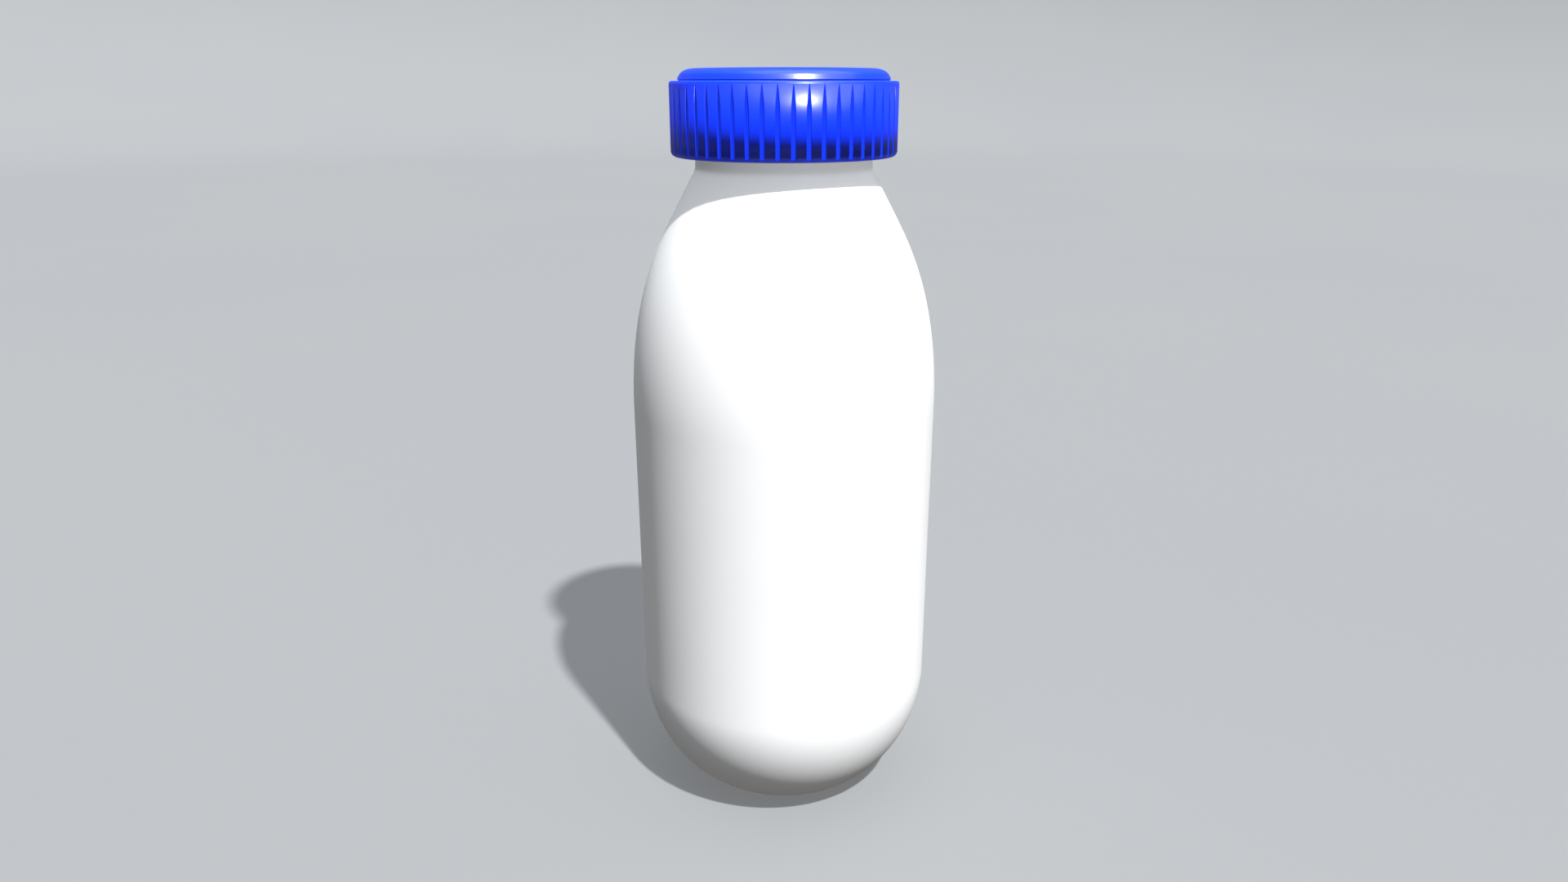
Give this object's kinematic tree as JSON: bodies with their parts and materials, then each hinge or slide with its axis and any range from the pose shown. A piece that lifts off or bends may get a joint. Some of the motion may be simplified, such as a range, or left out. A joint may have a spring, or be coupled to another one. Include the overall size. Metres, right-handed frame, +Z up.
{
  "type": "milk bottle",
  "caption": "Small round milk bottle of white plastic with a deep rounded heel, a long shoulder and a short neck, shut by a ribbed blue screw cap with a raised disc.",
  "frame": {"origin": "centre of the base, on the plane that the bottle stands on", "axes": "+Z up along the axis of the bottle and cap; -Y is the side that faces the camera in the picture"},
  "size_m": [0.0582, 0.0582, 0.1408],
  "materials": {
    "white_plastic": "blow-moulded white polyethylene, soft satin sheen",
    "blue_plastic": "injection-moulded blue polypropylene, glossy"
  },
  "bodies": {
    "root": {"bottle": "white_plastic", "cap": "blue_plastic"}
  },
  "joints": []
}
